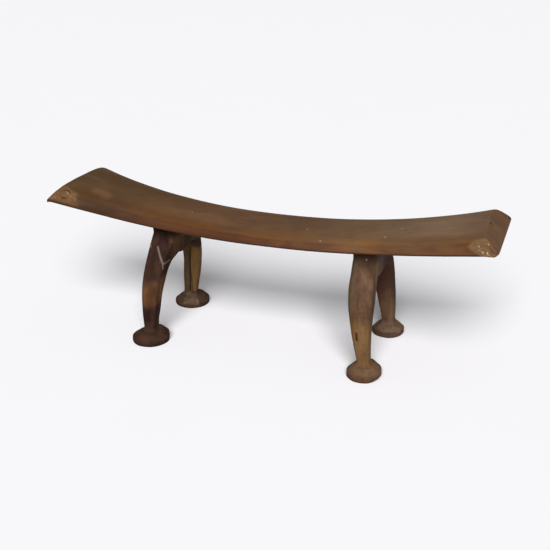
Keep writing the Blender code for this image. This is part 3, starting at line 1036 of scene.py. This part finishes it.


def yoke_wood(side):
    g = Graph(f"yoke_wood_{SIDE_NAMES[side]}")
    dark, middle, light, red, amber, darkest = YOKE_TONES[side]
    shift = (4.0 * side, 2.0, 1.0)
    grain = g.noise((520.0, 520.0, 34.0), 5.0, 0.62, shift)
    streaks = g.noise((85.0, 85.0, 15.0), 3.0, 0.55, shift, 0.35)
    clouds = g.noise((55.0, 55.0, 34.0), 3.0, 0.5, shift, 0.6)
    mottle = g.noise((210.0, 210.0, 130.0), 3.0, 0.6, shift)
    colour = g.ramp(streaks, ((0.32, dark), (0.50, middle), (0.72, light)))
    colour = g.tint(g.level(clouds, 0.38, 0.68, 0.0, 0.7), colour, (0.86, 0.70, 0.84))
    warmth = g.times(g.mask("warm"), g.level(clouds, 0.25, 0.65, 0.55, 1.0))
    colour = g.mix(warmth, colour, g.mix(g.level(streaks, 0.35, 0.68), red, amber))
    colour = g.mix(g.times(g.mask("olive"), g.level(clouds, 0.3, 0.7, 0.8, 0.35)), colour,
                   (0.070, 0.052, 0.026))
    colour = g.mix(g.times(g.mask("tan"), g.level(clouds, 0.3, 0.7, 1.0, 0.75)), colour,
                   (0.180, 0.101, 0.034))
    colour = g.mix(g.times(g.mask("dark"), 0.8), colour, darkest)
    colour = g.mix(g.times(g.mask("foot"), 0.6), colour,
                   g.mix(g.level(clouds, 0.35, 0.65), middle, light))
    colour = g.mix(g.times(g.mask("pale"), g.level(mottle, 0.3, 0.6, 1.0, 0.6)), colour,
                   (0.118, 0.078, 0.052))
    colour = g.tint(g.level(mottle, 0.45, 0.75, 0.0, 0.45), colour, (0.60, 0.52, 0.54))
    colour = g.tint(g.level(grain, 0.42, 0.74, 0.0, 0.35), colour, (0.60, 0.52, 0.50))
    # Edges between the facets are rubbed paler, the deepest cuts are painted dark, and painted shade
    # darkens each head where it meets the crossbar
    rubbed = g.times(g.level(g.mask("wear"), 0.25, 0.9, 0.0, 0.45), g.level(grain, 0.3, 0.6, 1.0, 0.5))
    dirt = g.times(g.mask("rim_dirt"), g.level(mottle, 0.3, 0.6, 1.0, 0.6))
    worn = g.times(g.level(g.mask("worn"), 0.12, 0.65, 0.0, 0.85), g.level(mottle, 0.30, 0.50, 0.75, 1.0))
    colour = g.mix(rubbed, colour, (0.150, 0.100, 0.066))
    colour = g.tint(dirt, colour, (0.38, 0.32, 0.40))
    # Painted shade on the top of each head, under the crossbar
    colour = g.mix(g.times(g.mask("shade"), JOINT_SHADE[side]), colour, (0.008, 0.004, 0.003))
    colour = g.mix(g.level(g.mask("grooves"), 0.10, 0.7, 0.0, 0.85), colour, (0.014, 0.007, 0.004))
    colour = g.mix(worn, colour, (0.122, 0.090, 0.074))
    rough = g.level(clouds, 0.3, 0.7, 0.58, 0.72)
    normal = g.bump(grain, 0.00025, 0.5)
    normal = g.bump(mottle, 0.00040, 0.3, normal)
    normal = g.bump(streaks, 0.00060, 0.3, normal)
    return g.done(colour, rough, normal, 0.02)


def peg_wood():
    g = Graph("peg_wood")
    grain = g.noise((700.0, 700.0, 40.0), 4.0, 0.6)
    colour = g.ramp(grain, ((0.30, (0.200, 0.115, 0.055)), (0.70, (0.330, 0.215, 0.120))))
    return g.done(colour, g.level(grain, 0.3, 0.7, 0.60, 0.75), g.bump(grain, 0.0003, 0.6))


def floor_paper():
    g = Graph("floor_paper")
    mottle = g.noise((6.0, 6.0, 6.0), 2.0, 0.5)
    colour = g.mix(mottle, (0.795, 0.788, 0.808), (0.805, 0.798, 0.818))
    return g.done(colour, 0.9, g.bump(g.noise((900.0, 900.0, 900.0), 2.0), 0.0001, 0.2))


# ---------------------------------------------------------------- stage, camera and light

AMBIENT = 0.18                  # the white room all round
AMBIENT_COLOUR = (0.98, 0.985, 1.0, 1.0)
SOFTBOX_POWER = 5.19            # a large soft light above the front
SOFTBOX_SPREAD = 37.0           # degrees
# Degrees round from the front, towards +X, and above the floor
SOFTBOX_DIRECTION = (16.0, 37.5)
CAMERA_DIRECTION = (19.92, 22.40)
CAMERA_PLACE = (0.2954, -0.8055, 0.4252)
CAMERA_LENS = 56.97             # millimetres, on a sensor 36 mm wide
FLOOR_RADIUS = 6.0
FLOOR_DROP = 0.00005            # how far below the soles the floor lies


def direction(azimuth, elevation):
    azimuth = math.radians(azimuth)
    elevation = math.radians(elevation)
    return Vector((
        math.sin(azimuth) * math.cos(elevation),
        -math.cos(azimuth) * math.cos(elevation),
        math.sin(elevation),
    ))


def look_from(thing, towards):
    """Turn a camera or a light so that it looks back along a direction."""
    thing.rotation_mode = "QUATERNION"
    thing.rotation_quaternion = (-towards).to_track_quat("-Z", "Y")


def make_floor():
    bm = bmesh.new()
    bmesh.ops.create_circle(bm, cap_ends=True, segments=96, radius=FLOOR_RADIUS)
    floor = object_from(bm, "floor")
    floor.data.materials.append(floor_paper())
    floor.location.z = -FLOOR_DROP


def make_camera():
    data = bpy.data.cameras.new("camera")
    data.sensor_width = 36.0
    data.lens = CAMERA_LENS
    data.clip_start = 0.01
    camera = link_new("camera", data)
    camera.location = CAMERA_PLACE
    look_from(camera, direction(*CAMERA_DIRECTION))
    bpy.context.scene.camera = camera


def make_light():
    world = bpy.data.worlds.new("studio")
    bpy.context.scene.world = world
    world.use_nodes = True
    background = world.node_tree.nodes["Background"]
    background.inputs["Color"].default_value = AMBIENT_COLOUR
    background.inputs["Strength"].default_value = AMBIENT
    data = bpy.data.lights.new("softbox", "SUN")
    data.energy = SOFTBOX_POWER
    data.angle = math.radians(SOFTBOX_SPREAD)
    light = link_new("softbox", data)
    look_from(light, direction(*SOFTBOX_DIRECTION))
    bpy.context.scene.view_settings.view_transform = "Standard"


# ---------------------------------------------------------------- assembly

def finish_piece(piece, material, node):
    piece.data.materials.clear()
    piece.data.materials.append(material)
    piece.data.shade_smooth()
    piece.data.set_sharp_from_angle(angle=math.radians(48))
    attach(piece, "root")
    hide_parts(node)


def main():
    make_floor()
    make_camera()
    make_light()
    finish_piece(make_crossbar(), bar_wood(), "crossbar")
    for side in (-1, 1):
        finish_piece(make_yoke(side), yoke_wood(side), f"{SIDE_NAMES[side]}_leg_yoke")
    pale = peg_wood()
    for side in SIDE_NAMES.values():
        for place in ("front", "back"):
            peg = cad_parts[f"{side}_{place}_peg"]
            peg.data.materials.clear()
            peg.data.materials.append(pale)


main()
